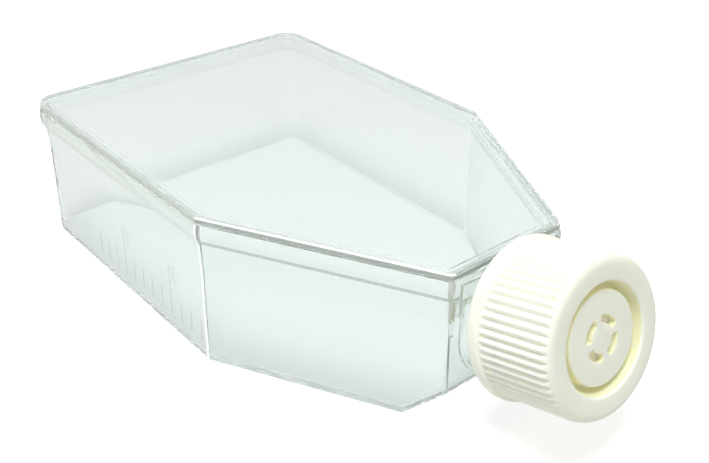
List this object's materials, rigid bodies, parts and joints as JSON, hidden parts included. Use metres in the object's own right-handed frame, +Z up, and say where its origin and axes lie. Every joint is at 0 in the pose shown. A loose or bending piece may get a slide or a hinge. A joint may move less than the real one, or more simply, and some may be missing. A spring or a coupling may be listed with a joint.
{
  "type": "cell culture flask",
  "caption": "Clear rectangular flask for growing cells lying flat, with tapered shoulders, a neck canted upwards and a ribbed, vented screw cap.",
  "frame": {"origin": "middle of the bounding box's underside, on the plane of the floor", "axes": "+X from the back wall to the neck, +Z up from the floor to the lid; the flask is symmetric about the XZ plane"},
  "size_m": [0.1602, 0.0848, 0.045],
  "materials": {
    "clear_polystyrene": "clear, polished mould",
    "white_polyethylene": "satin, moulded",
    "filter_membrane": "matt membrane"
  },
  "bodies": {
    "flask": {"flask_body": "clear_polystyrene", "lid": "clear_polystyrene"},
    "filter_carrier": {"vent_filter": "filter_membrane"},
    "screw_cap": {"cap": "white_polyethylene"}
  },
  "joints": [
    {"name": "cap_lift", "type": "slide", "parent": "flask", "child": "filter_carrier", "axis": [0.9603, 0, 0.279], "range_m": [0, 0.006]},
    {"name": "cap_turn", "type": "hinge", "parent": "filter_carrier", "child": "screw_cap", "pos_m": [0.06531, 0, 0.02653], "axis": [0.9603, 0, 0.279], "range_deg": [0, 540]}
  ],
  "couplings": [
    {"joint": "cap_lift", "follows": "cap_turn", "m_per_rad": 0.00063662}
  ]
}
